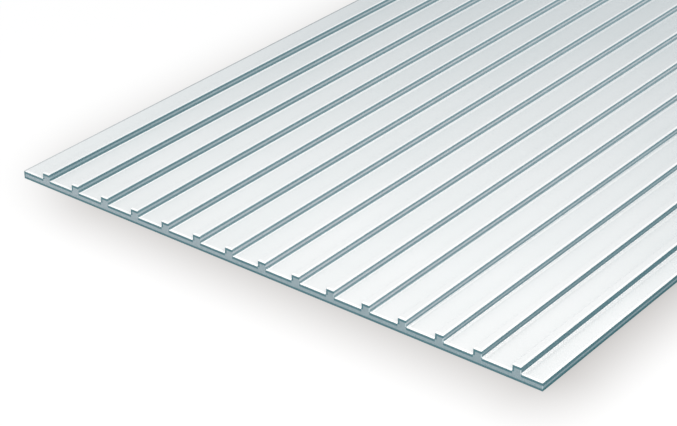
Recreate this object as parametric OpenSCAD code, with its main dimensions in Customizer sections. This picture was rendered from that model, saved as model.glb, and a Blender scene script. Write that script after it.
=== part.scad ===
// Standing seam roofing sheet: one piece of opaque white plastic, flat underneath,
// with straight square seams standing along its length.
// X runs across the seams, Y along them and Z up. The origin is under the middle of the sheet.

/* [Sheet] */
// Width of the sheet, across the seams
sheet_w = 150; // [100:1:300]
// Length of the sheet, along the seams
sheet_l = 300; // [100:5:600]
// Thickness of the flat sheet between the seams
sheet_t = 2.1; // [1:0.1:4]

/* [Seams] */
// Distance from the middle of one seam to the middle of the next
seam_pitch = 9.7; // [6:0.1:20]
// Distance from the left edge to the middle of the first seam
first_seam = 7.8; // [3:0.1:20]
// Least distance from the middle of the last seam to the right edge
last_seam_clear = 4; // [3:0.1:10]
// Width of a seam
seam_w = 2.2; // [1:0.1:4]
// Height of a seam above the sheet
seam_h = 1.6; // [1:0.1:4]

/* [Edges] */
// Radius on the two top edges of a seam
arris_r = 0.15; // [0.05:0.05:0.4]
// Radius in the two corners where a seam meets the sheet
root_r = 0.15; // [0.05:0.05:0.4]

/* [Hidden] */
$fn = 32;
// As many seams as the width holds
seam_count = floor((sheet_w - first_seam - last_seam_clear) / seam_pitch) + 1;

// What lies between a square corner at the origin and a round of radius r in its first
// quadrant, with a margin of r on the corner's other three sides
module corner_fill(r) {
    difference() {
        square(2 * r, center = true);
        translate([r, r]) circle(r);
    }
}

// The section of a seam, with the middle of its root at the origin
module seam_section() {
    difference() {
        translate([-seam_w / 2, 0]) square([seam_w, seam_h]);
        for (side = [0, 1]) mirror([side, 0])
            translate([seam_w / 2, seam_h]) rotate(180) corner_fill(arris_r);
    }
    for (side = [0, 1]) mirror([side, 0])
        translate([seam_w / 2, 0]) corner_fill(root_r);
}

// The section of the whole sheet, with its lower left corner at the origin
module sheet_section() {
    square([sheet_w, sheet_t]);
    for (i = [0 : seam_count - 1])
        translate([first_seam + i * seam_pitch, sheet_t]) seam_section();
}

// The sheet and its seams are one extrusion
module seamed_sheet() {
    color("whitesmoke")
        translate([-sheet_w / 2, sheet_l / 2, 0])
            rotate([90, 0, 0])
                linear_extrude(sheet_l) sheet_section();
}

seamed_sheet();
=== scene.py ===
"""Looks of the standing seam roofing sheet: one piece of opaque white plastic, lying flat.

X runs across the seams, Y along them and Z up. Sizes are in millimetres, and become metres
where a mesh or an object is made from them. Lamps and camera are placed in metres.
"""

import math

import bpy
from mathutils import Matrix, Vector


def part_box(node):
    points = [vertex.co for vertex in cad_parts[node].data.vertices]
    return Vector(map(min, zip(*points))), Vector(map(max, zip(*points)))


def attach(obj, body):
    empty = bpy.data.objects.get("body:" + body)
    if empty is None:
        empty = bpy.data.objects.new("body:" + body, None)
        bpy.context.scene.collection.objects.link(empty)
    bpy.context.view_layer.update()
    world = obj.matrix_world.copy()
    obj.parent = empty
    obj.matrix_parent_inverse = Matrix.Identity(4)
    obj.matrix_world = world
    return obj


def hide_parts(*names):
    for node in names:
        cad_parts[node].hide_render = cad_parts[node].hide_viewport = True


MM = 0.001
NODE = "seamed_sheet"

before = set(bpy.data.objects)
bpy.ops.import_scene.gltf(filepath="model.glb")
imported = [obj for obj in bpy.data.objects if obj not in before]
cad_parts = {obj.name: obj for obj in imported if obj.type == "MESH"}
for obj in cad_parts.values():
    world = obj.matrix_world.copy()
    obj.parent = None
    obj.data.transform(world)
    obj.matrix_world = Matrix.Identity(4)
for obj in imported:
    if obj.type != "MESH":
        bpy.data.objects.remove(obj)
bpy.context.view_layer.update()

# Sizes of the section, as in the CAD model
LOW, HIGH = (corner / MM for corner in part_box(NODE))
SHEET_T = 2.1
SEAM_PITCH = 9.7
FIRST_SEAM = 7.8
LAST_SEAM_CLEAR = 4.0
SEAM_W = 2.2
ARRIS_R = 0.15
ROOT_R = 0.15
SEAM_COUNT = int((HIGH.x - LOW.x - FIRST_SEAM - LAST_SEAM_CLEAR) / SEAM_PITCH) + 1
SEAM_FIRST_X = LOW.x + FIRST_SEAM
HALF_SEAM = SEAM_W / 2


# Colours and nodes

PLASTIC_IOR = 1.5
PLASTIC_SPECULAR = 0.3
PURE_WHITE = (1.0, 1.0, 1.0, 1.0)

# Most of a noise lies within this range, which is drawn out to its whole effect
NOISE_RANGE = (0.3, 0.7)
PLAIN_DETAIL = 2.0
FINE_DETAIL = 3.0


def colour(red, green, blue):
    """A linear colour from its 8-bit display values, by the sRGB curve."""

    def linear(value):
        share = value / 255
        return share / 12.92 if share <= 0.04045 else ((share + 0.055) / 1.055) ** 2.4

    return (linear(red), linear(green), linear(blue), 1.0)


class Graph:
    """The nodes of a material or world, with short calls for the kinds that are used here."""

    def __init__(self, owner):
        owner.use_nodes = True
        self.nodes = owner.node_tree.nodes
        self.links = owner.node_tree.links
        self.nodes.clear()

    def put(self, socket, value):
        if isinstance(value, bpy.types.NodeSocket):
            self.links.new(value, socket)
        else:
            socket.default_value = value

    def node(self, kind, settings=(), **inputs):
        """A shader node with its settings, and with its inputs by their identifiers."""
        made = self.nodes.new("ShaderNode" + kind)
        for name, value in dict(settings).items():
            setattr(made, name, value)
        by_name = {socket.identifier: socket for socket in made.inputs}
        for name, value in inputs.items():
            self.put(by_name[name], value)
        return made

    def place(self):
        """The point's place in the row frame, in millimetres."""
        coordinates = self.node("TexCoord").outputs["Object"]
        scaled = self.node("VectorMath", {"operation": "SCALE"}, Vector=coordinates, Scale=1 / MM)
        return scaled.outputs[0]

    def axes(self, place):
        return self.node("SeparateXYZ", Vector=place).outputs

    def math(self, operation, first, second=0.0):
        made = self.node("Math", {"operation": operation})
        for socket, value in zip(made.inputs, (first, second)):
            self.put(socket, value)
        return made.outputs[0]

    def fade(self, value, start, end, low=0.0, high=1.0):
        """Low where value is at start, high where it is at end, and a smooth step between."""
        made = self.node("MapRange", {"interpolation_type": "SMOOTHSTEP"}, Value=value)
        limits = {"From Min": start, "From Max": end, "To Min": low, "To Max": high}
        for name, number in limits.items():
            self.put(made.inputs[name], number)
        return made.outputs[0]

    def fade_from(self, value, edge, distances, low=0.0, high=1.0):
        """A fade that starts and ends at two distances from an edge."""
        return self.fade(value, edge + distances[0], edge + distances[1], low, high)

    def noise(self, place, size, stretch=(1.0, 1.0, 1.0), detail=PLAIN_DETAIL):
        """Noise from 0 to 1 with features of about size mm, drawn out along each axis by stretch."""
        share = tuple(1 / (size * s) for s in stretch)
        scaled = self.node("VectorMath", {"operation": "MULTIPLY"}, Vector=place, Vector_001=share)
        made = self.node("TexNoise", Vector=scaled.outputs[0], Scale=1.0, Detail=detail)
        return made.outputs["Fac"]

    def spread(self, noise, low=0.0, high=1.0):
        """A noise that is drawn out to run from low to high."""
        return self.fade(noise, *NOISE_RANGE, low, high)

    def mix(self, factor, first, second, blend="MIX"):
        settings = {"data_type": "RGBA", "blend_type": blend}
        made = self.node("Mix", settings, Factor_Float=factor, A_Color=first, B_Color=second)
        return next(socket for socket in made.outputs if socket.identifier == "Result_Color")

    def bump(self, height, depth):
        """A normal from a height of 0 to 1 that stands for depth mm."""
        return self.node("Bump", Height=height, Distance=depth * MM).outputs[0]

    def surface(self, shader, kind="OutputMaterial"):
        self.links.new(shader, self.node(kind).inputs["Surface"])

    def plastic(self, base, roughness, normal):
        made = self.node("BsdfPrincipled", Normal=normal, IOR=PLASTIC_IOR)
        self.put(made.inputs["Base Color"], base)
        self.put(made.inputs["Roughness"], roughness)
        made.inputs["Specular IOR Level"].default_value = PLASTIC_SPECULAR
        self.surface(made.outputs[0])


def new_material(name):
    made = bpy.data.materials.new(name)
    return made, Graph(made)


# Masks, which are 1 in one place and 0 elsewhere

# Width over which a line's border fades
LINE_SOFT = 0.2


def across_seam(graph, x):
    """Signed distance of x from the middle of the nearest seam."""
    place = graph.math("DIVIDE", graph.math("SUBTRACT", x, SEAM_FIRST_X), SEAM_PITCH)
    held = graph.math("MINIMUM", graph.math("MAXIMUM", place, 0.0), SEAM_COUNT - 1.0)
    nearest = graph.math("ROUND", held)
    return graph.math("MULTIPLY", graph.math("SUBTRACT", place, nearest), SEAM_PITCH)


def line_at(graph, value, middle, width):
    """1 within width of middle, and 0 beyond it."""
    gap = graph.math("ABSOLUTE", graph.math("SUBTRACT", value, middle))
    return graph.fade(gap, width - LINE_SOFT / 2, width + LINE_SOFT / 2, 1.0, 0.0)


def slanted(graph, x, y, slant, limits):
    """A fade of x plus slant times y between two limits."""
    return graph.fade(graph.math("ADD", x, graph.math("MULTIPLY", y, slant)), *limits)


def either(graph, *masks):
    found = masks[0]
    for mask in masks[1:]:
        found = graph.math("MAXIMUM", found, mask)
    return found


def both(graph, *masks):
    found = masks[0]
    for mask in masks[1:]:
        found = graph.math("MULTIPLY", found, mask)
    return found


# Grain of the seamed side and the underside

WHITE = colour(227, 231, 232)
WHITE_DIM = colour(223, 228, 229)
GRAIN_SIZE = 0.22
GRAIN_SHARE = 0.6
STREAK_SIZE = 0.5
STREAK_STRETCH = (1.0, 90.0, 1.0)
STREAK_SHARE = 0.4


def moulded_grain(graph, place):
    """Fine satin grain, with faint streaks along the direction in which the sheet was drawn."""
    grain = graph.noise(place, GRAIN_SIZE, detail=FINE_DETAIL)
    streaks = graph.noise(place, STREAK_SIZE, STREAK_STRETCH)
    fine = graph.math("MULTIPLY", grain, GRAIN_SHARE)
    return graph.math("ADD", fine, graph.math("MULTIPLY", streaks, STREAK_SHARE))


def clouded_white(graph, place, size, stretch):
    cloud = graph.noise(place, size, stretch, FINE_DETAIL)
    return graph.mix(graph.spread(cloud), WHITE_DIM, WHITE)


# Seamed side. Pairs of X or Y say where a fade starts and where it ends.

FACE_CLOUD_SIZE = 22.0
FACE_CLOUD_STRETCH = (1.0, 3.0, 1.0)
FACE_ROUGHNESS = (0.42, 0.52)
FACE_BUMP = 0.006
TOWARDS_ENDS = (0.97, 0.97, 0.97, 1.0)
TOWARDS_ENDS_FROM = 122.0
# Painted shade, making the seams' tops a little darker than the pans
SEAM_TOP_SHADE = (0.965, 0.965, 0.965, 1.0)
# Colour of the painted highlights beside the edges
PAINTED_HIGHLIGHT = colour(253, 254, 254)
# Colour of the painted shade lines beside the roots and along the seams' right top edges
PAN_SHADE_LINE = colour(150, 178, 184)
LEFT_SHADE_LINE = colour(176, 182, 184)

# What lies closer than this to a seam's side is not pan
PAN_CLEAR = 0.02

# Painted highlights along the borders, as distances from the seam's side, the near end and the right
# edge.
# Those beside the seams and on them grow from the near end up to a place further back.
PAN_BORDER_EDGE = (-0.2, 0.3)
PAN_BORDER_NEAR = 0.6
PAN_BORDER_FULL = 1.0
PAN_BORDER_FULL_Y = -40.0
TOP_BORDER_EDGE = (-0.8, -0.5)
TOP_BORDER_NEAR = 0.4
TOP_BORDER_FULL = 0.95
TOP_BORDER_FULL_Y = 0.0
END_BORDER_EDGE = (0.45, 0.8)
RIGHT_BORDER_W = 0.6
SHEET_BORDER_SHARE = 0.65

# Painted shade lines, as distances from the root's round, the seam's side and the near end
PAN_LINE_EDGE = (0.05, 0.15)
PAN_LINE_X = (55.0, 25.0)
ARRIS_LINE_EDGE = (-0.16, -0.06)
ARRIS_LINE_X = (10.0, -15.0)
LINES_START = (0.2, 0.5)

# The painted shade line along the left edge, which grows stronger from the near end up to a place
# further back
LEFT_LINE_W = 0.55
LEFT_LINE_NEAR = 0.7
LEFT_LINE_FULL_Y = -60.0


def painted_highlights(graph, x, y, side, away, on_seam, on_pan):
    """Where a highlight is painted on the seamed side: beside the seams, at the near end and the
    right edge.
    """
    reach = graph.fade(y, LOW.y, PAN_BORDER_FULL_Y, PAN_BORDER_NEAR, PAN_BORDER_FULL)
    past_reach = graph.math("SUBTRACT", away, reach)
    beside = both(graph, graph.fade_from(past_reach, HALF_SEAM, PAN_BORDER_EDGE, 1.0, 0.0), on_pan)
    on_top = both(
        graph,
        graph.fade_from(side, HALF_SEAM, TOP_BORDER_EDGE),
        on_seam,
        graph.fade(y, LOW.y, TOP_BORDER_FULL_Y, TOP_BORDER_NEAR, TOP_BORDER_FULL),
    )
    at_end = graph.fade_from(y, LOW.y, END_BORDER_EDGE, SHEET_BORDER_SHARE, 0.0)
    right_line = line_at(graph, x, HIGH.x, RIGHT_BORDER_W)
    at_right = graph.math("MULTIPLY", right_line, SHEET_BORDER_SHARE)
    return either(graph, beside, on_top, at_end, at_right)


def painted_shade_lines(graph, x, y, side, away, on_seam, on_pan):
    """Where a painted shade line lies on the pans beside the roots, and along the seams' right top
    edge.
    """
    past_start = graph.fade_from(y, LOW.y, LINES_START)
    at_root = both(
        graph,
        graph.fade_from(away, HALF_SEAM + ROOT_R, PAN_LINE_EDGE, 1.0, 0.0),
        on_pan,
        graph.fade(x, *PAN_LINE_X),
        past_start,
    )
    at_arris = both(
        graph,
        graph.fade_from(side, HALF_SEAM, ARRIS_LINE_EDGE),
        on_seam,
        graph.fade(x, *ARRIS_LINE_X),
        past_start,
    )
    return either(graph, at_root, at_arris)


def face_material():
    """The seamed side: satin white, brighter beside the edges, where a highlight is painted."""
    made, graph = new_material("satin_white_face")
    place = graph.place()
    x, y, _ = graph.axes(place)
    side = across_seam(graph, x)
    away = graph.math("ABSOLUTE", side)
    on_seam = graph.math("LESS_THAN", away, HALF_SEAM)
    on_pan = graph.math("GREATER_THAN", away, HALF_SEAM + PAN_CLEAR)
    where = (x, y, side, away, on_seam, on_pan)
    base = clouded_white(graph, place, FACE_CLOUD_SIZE, FACE_CLOUD_STRETCH)
    towards_ends = graph.fade(graph.math("ABSOLUTE", y), TOWARDS_ENDS_FROM, HIGH.y)
    base = graph.mix(towards_ends, base, TOWARDS_ENDS, "MULTIPLY")
    base = graph.mix(on_seam, base, SEAM_TOP_SHADE, "MULTIPLY")
    base = graph.mix(painted_highlights(graph, *where), base, PAINTED_HIGHLIGHT)
    base = graph.mix(painted_shade_lines(graph, *where), base, PAN_SHADE_LINE)
    at_left = both(
        graph,
        line_at(graph, x, LOW.x, LEFT_LINE_W),
        graph.fade(y, LOW.y, LEFT_LINE_FULL_Y, LEFT_LINE_NEAR, 1.0),
    )
    base = graph.mix(at_left, base, LEFT_SHADE_LINE)
    height = moulded_grain(graph, place)
    graph.plastic(base, graph.spread(height, *FACE_ROUGHNESS), graph.bump(height, FACE_BUMP))
    return made


# Seams' sides. Pairs of X or Y say where a fade starts and where it ends.

FLANK = colour(241, 242, 244)
FLANK_DIM = colour(233, 234, 236)
FLANK_STREAK_SIZE = 0.35
FLANK_STREAK_STRETCH = (1.0, 60.0, 1.0)
FLANK_ROUGHNESS = (0.46, 0.56)
FLANK_BUMP = 0.004
# Painted shade lines along the seam's top edge and along its root
FLANK_TOP_LINE = colour(148, 177, 184)
FLANK_TOP_LINE_RIGHT = colour(158, 186, 193)
FLANK_TOP_LINE_W = 0.6
ROOT_LINE = colour(158, 184, 190)
ROOT_LINE_RIGHT = colour(147, 177, 184)
ROOT_LINE_FAR = colour(165, 189, 195)
ROOT_LINE_W = 0.46
FLANK_LINES_RIGHT_X = (30.0, 50.0)

# A painted highlight on the foot under the root line, which only the right-hand seams have
FOOT_HEIGHT = 0.19
FOOT_X = (22.0, 65.0)
FOOT_EDGE = (-0.05, 0.01)

# Painted shade between the lines, and more painted shade over sides and lines together
CORE_RIGHT = (0.05, 0.28, 0.3, 1.0)
CORE_RIGHT_X = (48.0, 97.0)
CORE_FAR = (0.93, 0.965, 0.965, 1.0)
FAR_SLANT = 1.0
FAR_X = (-110.0, -10.0)
FLANK_FRONT = (0.63, 0.69, 0.71, 1.0)
FLANK_FRONT_Y = (90.0, -166.0)
FLANK_LEFT = (0.54, 0.68, 0.7, 1.0)
FLANK_LEFT_SLANT = 0.24
FLANK_LEFT_X = (-23.0, -111.0)
FLANK_RIGHT = (0.05, 0.33, 0.38, 1.0)
FLANK_RIGHT_SLANT = 0.08
FLANK_RIGHT_X = (16.0, 85.0)


def flank_material():
    """The seams' upright sides, with painted shade over them and a painted shade line along the top
    edge and along the root.
    """
    made, graph = new_material("seam_flank")
    place = graph.place()
    x, y, z = graph.axes(place)
    streaks = graph.noise(place, FLANK_STREAK_SIZE, FLANK_STREAK_STRETCH, FINE_DETAIL)
    base = graph.mix(graph.spread(streaks), FLANK_DIM, FLANK)
    base = graph.mix(graph.fade(x, *CORE_RIGHT_X), base, CORE_RIGHT, "MULTIPLY")
    far = slanted(graph, x, y, FAR_SLANT, FAR_X)
    base = graph.mix(far, base, CORE_FAR, "MULTIPLY")
    to_right = graph.fade(x, *FLANK_LINES_RIGHT_X)
    root_line = graph.mix(to_right, ROOT_LINE, ROOT_LINE_RIGHT)
    root_line = graph.mix(far, root_line, ROOT_LINE_FAR)
    top_line = graph.mix(to_right, FLANK_TOP_LINE, FLANK_TOP_LINE_RIGHT)
    above_foot = graph.math("SUBTRACT", z, graph.fade(x, *FOOT_X, 0.0, FOOT_HEIGHT))
    base = graph.mix(line_at(graph, above_foot, SHEET_T, ROOT_LINE_W), base, root_line)
    base = graph.mix(line_at(graph, z, HIGH.z, FLANK_TOP_LINE_W), base, top_line)
    shades = (
        (graph.fade(y, *FLANK_FRONT_Y), FLANK_FRONT),
        (slanted(graph, x, y, FLANK_LEFT_SLANT, FLANK_LEFT_X), FLANK_LEFT),
        (slanted(graph, x, y, FLANK_RIGHT_SLANT, FLANK_RIGHT_X), FLANK_RIGHT),
    )
    for share, shade in shades:
        base = graph.mix(share, base, shade, "MULTIPLY")
    in_foot = graph.fade_from(above_foot, SHEET_T, FOOT_EDGE, 1.0, 0.0)
    base = graph.mix(in_foot, base, PAINTED_HIGHLIGHT)
    roughness = graph.spread(streaks, *FLANK_ROUGHNESS)
    graph.plastic(base, roughness, graph.bump(streaks, FLANK_BUMP))
    return made


# Cut faces. Pairs of X or Z say where a fade starts and where it ends.

CUT_MARK_SIZE = 0.12
CUT_ROUGHNESS = (0.5, 0.62)
CUT_BUMP = 0.01
# Painted shade that darkens the cut faces towards the right
CUT_RIGHT_SHADE = (0.73, 0.8, 0.81, 1.0)
CUT_RIGHT_X = (-95.0, 60.0)
# Painted highlight lines on the cut faces
GLEAM = colour(188, 205, 210)
GLEAM_W = 0.2
CORNER_GLEAM_SHARE = 0.6

# The ends' grey is painted shade over the white plastic
END_CUT_SHADE = colour(170, 186, 192)
END_CUT_SHADE_DIM = colour(163, 178, 184)
END_MARK_STRETCH = (1.0, 1.0, 12.0)
# Painted shade lines round the ends
END_LINE = colour(81, 122, 131)
END_LINE_LEFT = colour(91, 131, 139)
END_LINE_LEFT_TO = -15.0
UNDER_LINE_W = 0.62
PAN_TOP_LINE_W = 0.68
SEAM_TOP_LINE_W = 0.66
SEAM_SIDE_LINE_W = 0.5
END_LEFT_LINE_W = 0.5
SEAM_GLEAM_X = (10.0, 35.0)

# The long edges' grey is painted shade over the white plastic
EDGE_CUT_SHADE = colour(157, 179, 186)
EDGE_CUT_SHADE_DIM = colour(150, 172, 178)
EDGE_MARK_STRETCH = (1.0, 40.0, 1.0)
# Painted shade lines along the long edges
EDGE_LINE = colour(73, 118, 127)
EDGE_LINE_UNDER = colour(56, 112, 121)
EDGE_LINE_Z = (0.8, 1.3)
EDGE_UNDER_LINE_W = 0.75
EDGE_TOP_LINE_W = 0.8


def cut_material(name, stretch, shades, lines_of, line_colour_of, gleams_of):
    """A cut face in painted grey shade: slightly streaked, darker to the right, with painted shade
    lines along its borders.
    """
    made, graph = new_material(name)
    place = graph.place()
    x, y, z = graph.axes(place)
    marks = graph.noise(place, CUT_MARK_SIZE, stretch, FINE_DETAIL)
    base = graph.mix(graph.spread(marks), *shades)
    base = graph.mix(graph.fade(x, *CUT_RIGHT_X), base, CUT_RIGHT_SHADE, "MULTIPLY")
    lines = lines_of(graph, x, y, z)
    gleams = both(graph, gleams_of(graph, x, y, z), graph.math("SUBTRACT", 1.0, lines))
    base = graph.mix(gleams, base, GLEAM)
    base = graph.mix(lines, base, line_colour_of(graph, x, y, z))
    graph.plastic(base, graph.spread(marks, *CUT_ROUGHNESS), graph.bump(marks, CUT_BUMP))
    return made


def end_lines(graph, x, y, z):
    """Painted shade lines round an end, but for the seams' right sides and the right edge."""
    side = across_seam(graph, x)
    in_seam = graph.math("LESS_THAN", graph.math("ABSOLUTE", side), HALF_SEAM)
    beside_seam = graph.math("SUBTRACT", 1.0, in_seam)
    raised = graph.math("GREATER_THAN", z, SHEET_T)
    return either(
        graph,
        line_at(graph, z, LOW.z, UNDER_LINE_W),
        both(graph, line_at(graph, z, SHEET_T, PAN_TOP_LINE_W), beside_seam),
        line_at(graph, z, HIGH.z, SEAM_TOP_LINE_W),
        both(graph, line_at(graph, side, -HALF_SEAM, SEAM_SIDE_LINE_W), raised),
        line_at(graph, x, LOW.x, END_LEFT_LINE_W),
    )


def end_line_colour(graph, x, y, z):
    return graph.mix(graph.fade(x, LOW.x, END_LINE_LEFT_TO), END_LINE_LEFT, END_LINE)


def end_gleams(graph, x, y, z):
    """Painted highlight lines along the right sides of the right-hand seams' ends, and at the right
    edge.
    """
    raised = graph.math("GREATER_THAN", z, SHEET_T)
    seam_side = line_at(graph, across_seam(graph, x), HALF_SEAM, GLEAM_W)
    seam_gleam = both(graph, seam_side, raised, graph.fade(x, *SEAM_GLEAM_X))
    corner = graph.math("MULTIPLY", line_at(graph, x, HIGH.x, GLEAM_W), CORNER_GLEAM_SHARE)
    return either(graph, seam_gleam, corner)


def edge_lines(graph, x, y, z):
    """Painted shade lines along the lower and the upper border of a long edge."""
    lower = line_at(graph, z, LOW.z, EDGE_UNDER_LINE_W)
    return either(graph, lower, line_at(graph, z, SHEET_T, EDGE_TOP_LINE_W))


def edge_line_colour(graph, x, y, z):
    return graph.mix(graph.fade(z, *EDGE_LINE_Z), EDGE_LINE_UNDER, EDGE_LINE)


def edge_gleams(graph, x, y, z):
    """A painted highlight line at the near corner."""
    return graph.math("MULTIPLY", line_at(graph, y, LOW.y, GLEAM_W), CORNER_GLEAM_SHARE)


# Underside

UNDERSIDE_CLOUD_SIZE = 30.0
UNDERSIDE_CLOUD_STRETCH = (1.0, 4.0, 1.0)
UNDERSIDE_ROUGHNESS = (0.34, 0.42)
UNDERSIDE_BUMP = 0.003


def underside_material():
    """The flat side: satin white, smoother than the seamed side."""
    made, graph = new_material("satin_white_underside")
    place = graph.place()
    base = clouded_white(graph, place, UNDERSIDE_CLOUD_SIZE, UNDERSIDE_CLOUD_STRETCH)
    height = moulded_grain(graph, place)
    roughness = graph.spread(height, *UNDERSIDE_ROUGHNESS)
    graph.plastic(base, roughness, graph.bump(height, UNDERSIDE_BUMP))
    return made


def band_materials():
    """The material of each band of the sheet's surface, by the band's name."""
    end_shades = (END_CUT_SHADE_DIM, END_CUT_SHADE)
    end_parts = (end_lines, end_line_colour, end_gleams)
    edge_shades = (EDGE_CUT_SHADE_DIM, EDGE_CUT_SHADE)
    edge_parts = (edge_lines, edge_line_colour, edge_gleams)
    return {
        "face": face_material(),
        "flank": flank_material(),
        "cut_end": cut_material("cut_end", END_MARK_STRETCH, end_shades, *end_parts),
        "long_edge": cut_material("long_edge", EDGE_MARK_STRETCH, edge_shades, *edge_parts),
        "underside": underside_material(),
    }


# The sheet's mesh

# Finish of the edges, which only the looks have
EDGE_R = 0.12
END_CHAMFER = 0.1

# Straight pieces in a quarter round, and sections along the sheet between its chamfers
ARC_STEPS = 4
RINGS = 7

# A mitred corner moves in by at most the depth divided by this
LEAST_MITRE = 0.5

BANDS = ("face", "flank", "cut_end", "long_edge", "underside")


def arc(centre, radius, start, end):
    """Points of an arc from start to end, in degrees."""
    turns = [math.radians(start + (end - start) * i / ARC_STEPS) for i in range(ARC_STEPS + 1)]
    return [(centre[0] + radius * math.cos(t), centre[1] + radius * math.sin(t)) for t in turns]


def seam_rounds(middle):
    """The four rounds in a seam's outline, from its left root to its right one."""
    root, top, half = SHEET_T, HIGH.z, HALF_SEAM
    return [
        arc((middle - half - ROOT_R, root + ROOT_R), ROOT_R, -90, 0),
        arc((middle - half + ARRIS_R, top - ARRIS_R), ARRIS_R, 180, 90),
        arc((middle + half - ARRIS_R, top - ARRIS_R), ARRIS_R, 90, 0),
        arc((middle + half + ROOT_R, root + ROOT_R), ROOT_R, 180, 270),
    ]


def section_outline():
    """The closed outline, clockwise from the lower left corner, as (x, z, band, round).

    Each point's band and round are those of the stretch that starts there.
    """
    left, right, low, top, r = LOW.x, HIGH.x, LOW.z, SHEET_T, EDGE_R
    found = []

    def add(points, band, next_band):
        found.extend((x, z, band, True) for x, z in points[:-1])
        found.append((*points[-1], next_band, False))

    def add_round(points, first_band, second_band):
        middle = len(points) // 2
        found.extend((x, z, first_band, True) for x, z in points[:middle])
        found.extend((x, z, second_band, True) for x, z in points[middle:-1])
        found.append((*points[-1], second_band, False))

    add(arc((left + r, low + r), r, 270, 180), "long_edge", "long_edge")
    add_round(arc((left + r, top - r), r, 180, 90), "long_edge", "face")
    for index in range(SEAM_COUNT):
        root_in, arris_in, arris_out, root_out = seam_rounds(SEAM_FIRST_X + index * SEAM_PITCH)
        add(root_in, "flank", "flank")
        add_round(arris_in, "flank", "face")
        add_round(arris_out, "face", "flank")
        add(root_out, "flank", "face")
    add_round(arc((right - r, top - r), r, 90, 0), "face", "long_edge")
    add(arc((right - r, low + r), r, 0, -90), "long_edge", "underside")
    return found


def inset(points, depth):
    """The closed clockwise outline moved inwards by depth, with mitred corners."""
    moved = []
    for i, point in enumerate(points):
        before, after = Vector(points[i - 1]), Vector(points[(i + 1) % len(points)])
        here = Vector(point)
        first, second = (here - before).normalized(), (after - here).normalized()
        inward = Vector((first.y + second.y, -first.x - second.x)).normalized()
        across = max(LEAST_MITRE, inward.dot(Vector((first.y, -first.x))))
        moved.append(tuple(here + inward * depth / across))
    return moved


# Layout of the map through which the looks can be drawn as a texture

TEXTURE_MAP = "OFBake"
MAP_BORDER = 0.004
STRIPS = {
    "top": (0.01, 0.6),
    "underside": (0.61, 0.83),
    "front_end": (0.84, 0.885),
    "back_end": (0.895, 0.94),
    "left_edge": (0.95, 0.97),
    "right_edge": (0.978, 0.998),
}
FLANK_STRETCH = 2.5
CHAMFER_SHARE = 0.006


def strips_across(outline):
    """Each stretch's strip of the map, and where it starts and ends across it, from 0 to 1.

    The seams' narrow flanks are stretched, so that their lines stay sharp.
    """
    placed, reached = [], dict.fromkeys(STRIPS, 0.0)
    for i, (x, z, band, _) in enumerate(outline):
        edge = "left_edge" if x < 0 else "right_edge"
        strip = {"underside": "underside", "long_edge": edge}.get(band, "top")
        width = math.dist((x, z), outline[(i + 1) % len(outline)][:2])
        start = reached[strip]
        reached[strip] += width * FLANK_STRETCH if band == "flank" else width
        placed.append((strip, start, reached[strip]))
    return [(strip, start / reached[strip], end / reached[strip]) for strip, start, end in placed]


def on_map(strip, across, along):
    """A place on the map from one on a strip. The edges' strips lie turned, so that they fit."""
    if strip.endswith("edge"):
        across, along = along, across
    low, high = STRIPS[strip]
    return (MAP_BORDER + (1 - 2 * MAP_BORDER) * across, low + (high - low) * along)


def sheet_mesh(materials):
    """The section swept along Y, with narrow chamfers round both ends."""
    outline = section_outline()
    full = [(x, z) for x, z, _, _ in outline]
    narrow = inset(full, END_CHAMFER)
    inner = HIGH.y - END_CHAMFER
    stations = [-inner + 2 * inner * i / (RINGS - 1) for i in range(RINGS)]
    rings = [(LOW.y, narrow), *((y, full) for y in stations), (HIGH.y, narrow)]
    count = len(full)
    points = [(x * MM, y * MM, z * MM) for y, ring in rings for x, z in ring]
    along = [CHAMFER_SHARE + (1 - 2 * CHAMFER_SHARE) * i / (RINGS - 1) for i in range(RINGS)]
    along = [0.0, *along, 1.0]
    across = strips_across(outline)
    faces, bands, rounds, places = [], [], [], []
    for row in range(len(rings) - 1):
        here, ahead = row * count, (row + 1) * count
        chamfer = row in (0, len(rings) - 2)
        for i, (_, _, band, curved) in enumerate(outline):
            j = (i + 1) % count
            faces.append((here + i, ahead + i, ahead + j, here + j))
            strip, start, end = across[i]
            corners = ((start, row), (start, row + 1), (end, row + 1), (end, row))
            places += [on_map(strip, side, along[ring]) for side, ring in corners]
            bands.append("cut_end" if chamfer and band != "face" else band)
            rounds.append(curved)
    last = (len(rings) - 1) * count
    faces.append(tuple(range(count)))
    faces.append(tuple(reversed(range(last, last + count))))
    bands += ["cut_end", "cut_end"]
    rounds += [False, False]
    shares = [((x - LOW.x) / (HIGH.x - LOW.x), z / HIGH.z) for x, z in narrow]
    places += [on_map("front_end", *share) for share in shares]
    places += [on_map("back_end", *share) for share in reversed(shares)]
    mesh = bpy.data.meshes.new("seamed_sheet_finish")
    mesh.from_pydata(points, [], faces)
    layer = mesh.uv_layers.new(name=TEXTURE_MAP)
    layer.uv.foreach_set("vector", [number for place in places for number in place])
    for name in BANDS:
        mesh.materials.append(materials[name])
    mesh.polygons.foreach_set("material_index", [BANDS.index(band) for band in bands])
    mesh.polygons.foreach_set("use_smooth", rounds)
    mesh.validate()
    return mesh


def make_sheet():
    made = bpy.data.objects.new("seamed_sheet_finish", sheet_mesh(band_materials()))
    bpy.context.scene.collection.objects.link(made)
    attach(made, "root")
    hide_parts(NODE)


# Floor and background

FLOOR_SIDE = 4.0
SHADE = colour(200, 197, 195)

# The floor's own light, at two distances from the middle of the sheet
FLOOR_GLOW = (0.94, 1.0)
FLOOR_GLOW_AT = (150.0, 400.0)

# What the floor gives back of the lamps' light to the camera, and to all else
FLOOR_REAL = (0.07, 0.07, 0.07, 1.0)
FLOOR_BOUNCED = (0.8, 0.8, 0.8, 1.0)

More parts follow.
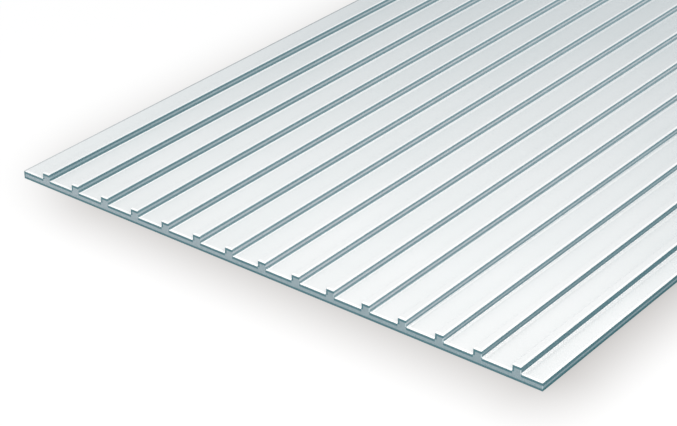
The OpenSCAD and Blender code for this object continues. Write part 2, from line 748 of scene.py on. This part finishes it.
# Distances from each edge of the sheet, and from its near left corner, between which the
# shade on the floor fades in
LEFT_FADE = (-22.0, 28.5)
RIGHT_FADE = (18.3, -5.4)
FRONT_FADE = (-21.2, 10.6)
BACK_FADE = (20.0, -26.0)
CORNER_FADE = (-20.2, 19.6)

SKY = (0.91, 1.0, 1.05, 1.0)
SKY_STRENGTH = 0.58


def seen_directly(graph):
    """1 for rays to the camera, and for those by way of a reflection or through glass."""
    path = graph.node("LightPath").outputs
    return either(graph, path["Is Camera Ray"], path["Is Glossy Ray"], path["Is Transmission Ray"])


def chosen_shader(graph, otherwise, directly):
    """One shader for what is seen directly, and another one for all other light."""
    shaders = {"Shader": otherwise.outputs[0], "Shader_001": directly.outputs[0]}
    return graph.node("MixShader", Fac=seen_directly(graph), **shaders).outputs[0]


def soft_shade(graph):
    """0 on the open floor and 1 under the sheet, fading out beyond each of its edges."""
    x, y, _ = graph.axes(graph.place())
    return both(
        graph,
        graph.fade_from(x, LOW.x, LEFT_FADE),
        graph.fade_from(x, HIGH.x, RIGHT_FADE),
        graph.fade_from(y, LOW.y, FRONT_FADE),
        graph.fade_from(y, HIGH.y, BACK_FADE),
        graph.fade_from(graph.math("ADD", x, y), LOW.x + LOW.y, CORNER_FADE),
    )


def floor_material():
    """White to the camera, with the sheet's shadow on it, and pale grey to bounced light."""
    made, graph = new_material("pale_floor")
    tint = graph.mix(soft_shade(graph), PURE_WHITE, SHADE)
    length = graph.node("VectorMath", {"operation": "LENGTH"}, Vector=graph.place())
    strength = graph.fade(length.outputs["Value"], *FLOOR_GLOW_AT, *FLOOR_GLOW)
    glow = graph.node("Emission", Color=tint, Strength=strength)
    real = graph.node("BsdfDiffuse", Color=graph.mix(1.0, tint, FLOOR_REAL, "MULTIPLY"))
    shown = graph.node("AddShader", Shader=glow.outputs[0], Shader_001=real.outputs[0])
    bounced = graph.node("BsdfDiffuse", Color=FLOOR_BOUNCED)
    graph.surface(chosen_shader(graph, bounced, shown))
    return made


def make_floor():
    half = FLOOR_SIDE / 2
    mesh = bpy.data.meshes.new("floor")
    corners = [(-half, -half, 0.0), (half, -half, 0.0), (half, half, 0.0), (-half, half, 0.0)]
    mesh.from_pydata(corners, [], [(0, 1, 2, 3)])
    mesh.materials.append(floor_material())
    floor = bpy.data.objects.new("floor", mesh)
    bpy.context.scene.collection.objects.link(floor)


def make_world():
    """A pale sky that lights the sheet, and plain white to the camera."""
    world = bpy.data.worlds.new("soft_studio")
    bpy.context.scene.world = world
    graph = Graph(world)
    sky = graph.node("Background", Color=SKY, Strength=SKY_STRENGTH)
    white = graph.node("Background", Color=PURE_WHITE, Strength=1.0)
    graph.surface(chosen_shader(graph, sky, white), "OutputWorld")


# Lamps and camera, in metres and watts

LAMP_TINT = (1.0, 0.89, 0.84)
KEY_PLACE = (0.078, -0.273, 0.2)
KEY_SIDE = 0.4
KEY_POWER = 0.797
FAR_PLACE = (-0.032, 0.414, 0.2)
FAR_SIDE = 0.3
FAR_POWER = 0.305

CAMERA_PLACE = Vector((0.25087, -0.43281, 0.22699))
CAMERA_AZIMUTH = 38.884
CAMERA_ELEVATION = 29.245
CAMERA_ROLL = -0.7506
CAMERA_LENS = 105.43
CAMERA_SENSOR = 36.0
CAMERA_NEAR = 0.01
CAMERA_FAR = 20.0


def make_lamp(name, place, side, power):
    """A square soft lamp that faces down."""
    light = bpy.data.lights.new(name, "AREA")
    light.shape = "SQUARE"
    light.size = side
    light.energy = power
    light.color = LAMP_TINT
    lamp = bpy.data.objects.new(name, light)
    lamp.location = place
    bpy.context.scene.collection.objects.link(lamp)


def make_camera():
    """The photograph's camera. Azimuth 0 looks along +Y, and roll turns the picture."""
    angles = (CAMERA_AZIMUTH, CAMERA_ELEVATION, CAMERA_ROLL)
    turn, rise, roll = (math.radians(angle) for angle in angles)
    flat = math.cos(rise)
    back = Vector((math.sin(turn) * flat, -math.cos(turn) * flat, math.sin(rise)))
    level = Vector((math.cos(turn), math.sin(turn), 0.0))
    upright = back.cross(level)
    right = level * math.cos(roll) + upright * math.sin(roll)
    up = upright * math.cos(roll) - level * math.sin(roll)
    data = bpy.data.cameras.new("camera")
    data.sensor_width = CAMERA_SENSOR
    data.lens = CAMERA_LENS
    data.clip_start = CAMERA_NEAR
    data.clip_end = CAMERA_FAR
    camera = bpy.data.objects.new("camera", data)
    axes = Matrix((right, up, back)).transposed().to_4x4()
    camera.matrix_world = Matrix.Translation(CAMERA_PLACE) @ axes
    bpy.context.scene.collection.objects.link(camera)
    bpy.context.scene.camera = camera


make_camera()
make_sheet()
make_floor()
make_world()
make_lamp("key", KEY_PLACE, KEY_SIDE, KEY_POWER)
make_lamp("far", FAR_PLACE, FAR_SIDE, FAR_POWER)
bpy.context.scene.view_settings.view_transform = "Standard"
